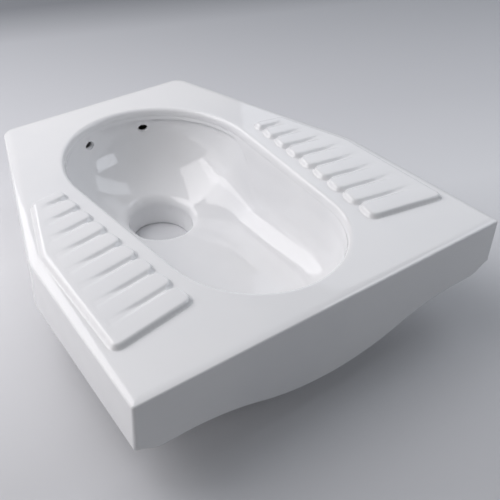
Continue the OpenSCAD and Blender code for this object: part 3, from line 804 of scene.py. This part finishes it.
    raised = reached()
    soft = s.node("GeometryNodeBlurAttribute", {"data_type": "FLOAT"}, {
        "Value": raised, "Iterations": BLUR_STEPS})
    grown = keep(grown, soft)
    bare = s.maths("LESS_THAN", raised, SUNK_EDGE / 8)
    patch = s.node("GeometryNodeDeleteGeometry", {"domain": "POINT"}, {
        "Geometry": grown, "Selection": bare})
    up = s.node("ShaderNodeCombineXYZ", None, {
        "X": x * side * MM, "Y": (y - DECK_DEPTH / 2) * MM, "Z": (raised + DECK_HEIGHT - SUNK_EDGE) * MM})
    return s, s.node("GeometryNodeSetPosition", None, {"Geometry": patch, "Position": up})


def close_below(data, level):
    """Closes an open sheet with a wall from its edge down to a level and a flat bottom."""
    sheet = bmesh.new()
    sheet.from_mesh(data)
    bmesh.ops.extrude_edge_only(sheet, edges=[edge for edge in sheet.edges if edge.is_boundary])
    rim = [edge for edge in sheet.edges if edge.is_boundary]
    for vertex in {vertex for edge in rim for vertex in edge.verts}:
        vertex.co.z = level
    bmesh.ops.triangle_fill(sheet, edges=rim)
    bmesh.ops.recalc_face_normals(sheet, faces=sheet.faces)
    sheet.to_mesh(data)
    sheet.free()
    shade(data)


for name, hand in (("left_tread", -1), ("right_tread", 1)):
    shape, top = tread_shape(hand)
    tread = shape.made(name + "_ribs", top, glaze)
    close_below(tread.data, (DECK_HEIGHT - 4 * SUNK_EDGE) * MM)
    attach(tread, "root")
    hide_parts(name)

# ---- Flush box, inlet and underside ------------------------------------------------
# Castings of the same body that the glaze doesn't reach: the box that feeds the jets,
# the webs and the feet. The pipe socket is glazed, holds a rubber cone and sits in a hole
# through the rear skirt.

INLET_R, INLET_DEPTH, DRILL_ROOM = 23.0, 36.5, 10.0
CHINA_DARK, CHINA_PALE = (0.62, 0.59, 0.54), (0.76, 0.73, 0.68)

turns = np.linspace(0, 2 * math.pi, ROUND_CUTS, endpoint=False)
circle = INLET_R * np.column_stack([np.cos(turns), 0 * turns, np.sin(turns)])
body = bmesh.new()
add_plug(body, [circle + [0, DECK_DEPTH + run, -INLET_DEPTH]
                for run in (-SKIRT_THICKNESS - DRILL_ROOM, DRILL_ROOM)])
drill(deck, finished("inlet_drill", body, glaze))

bare_china, g = new_material("bare_china")
place = g.node("ShaderNodeTexCoord", output="Object")
speck = spread(g, place, {"Scale": 320.0, "Detail": 3.0, "Roughness": 0.7})
cloud = spread(g, place, {"Scale": 9.0, "Detail": 3.0})
colour = g.node("ShaderNodeValToRGB", {"stops": [(0.3, CHINA_DARK), (0.7, CHINA_PALE)]},
                {"Fac": speck * 0.5 + cloud * 0.5})
rough = g.node("ShaderNodeBump", None, {"Strength": 0.35, "Distance": 0.0006, "Height": speck})
surface = g.node("ShaderNodeBsdfPrincipled", None, {
    "Base Color": colour, "Roughness": 0.75 + speck * 0.15, "Normal": rough})
g.node("ShaderNodeOutputMaterial", None, {"Surface": surface})

finishes = {"flush_box": bare_china, "inlet_socket": glaze, "inlet_seal": rubber}
for side in ("left", "right"):
    for part in ("front_web", "rear_web", "foot"):
        finishes[f"{side}_{part}"] = bare_china
for node, material in finishes.items():
    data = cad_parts[node].data
    data.materials.clear()
    data.materials.append(material)

# ---- Studio light ------------------------------------------------------------------
# A tilted window stands at the rear left with two cards below it. They light the pan's left
# side, and the bright streak in the bowl is their reflection. Two of the cooler cards to the
# right are the patches on its rear left wall, and the others and a ceiling fill the rest.


def soft_light(name, azimuth, rise, away, width, height, roll, radiance, colour):
    """A soft box round the pan, facing it, as bright per area as its radiance says."""
    data = bpy.data.lights.new(name, "AREA")
    data.shape, data.size, data.size_y = "RECTANGLE", width, height
    data.energy, data.color = math.pi * width * height * radiance, colour
    lamp = bpy.data.objects.new(name, data)
    turn, climb = math.radians(azimuth), math.radians(rise)
    out = Vector((math.cos(turn) * math.cos(climb), math.sin(turn) * math.cos(climb), math.sin(climb)))
    facing = (-out).to_track_quat("-Z", "Y").to_matrix().to_4x4()
    place = Matrix.Translation(out * away + Vector((0, 0, DECK_HEIGHT * MM)))
    lamp.matrix_world = place @ facing @ Matrix.Rotation(math.radians(roll), 4, "Z")
    scene.collection.objects.link(lamp)


WARM, COOL, ROOM = (1.0, 0.98, 0.995), (0.90, 0.935, 1.0), (0.96, 0.98, 1.0)

# After its name, each lamp has its azimuth, rise, distance, width, height, roll and radiance.
soft_light("window", 129, 48, 1.35, 1.8, 0.95, 18, 3.1, WARM)
soft_light("left card", 170, 8, 1.3, 1.4, 0.35, 0, 1.45, WARM)
soft_light("left box", 150, 30, 2.2, 1.6, 1.0, 0, 1.45, WARM)
soft_light("ceiling", 120, 80, 2.0, 2.6, 2.6, 0, 0.25, COOL)
soft_light("rear right card", 30, 30, 2.2, 1.4, 1.0, 0, 0.9, COOL)
soft_light("right strip", -5, 39, 2.0, 0.6, 1.36, 0, 2.2, COOL)
soft_light("front right card", -35.5, 24, 2.0, 1.1, 0.5, -25, 3.5, COOL)
soft_light("front card", -90, 25, 2.2, 1.6, 0.8, 0, 0.22, COOL)

world = bpy.data.worlds.new("room")
world.use_nodes = True
world.node_tree.nodes.clear()
g = Graph(world.node_tree)
light = g.node("ShaderNodeBackground", None, {"Color": (*ROOM, 1), "Strength": 0.08})
g.node("ShaderNodeOutputWorld", None, {"Surface": light})
scene.world = world
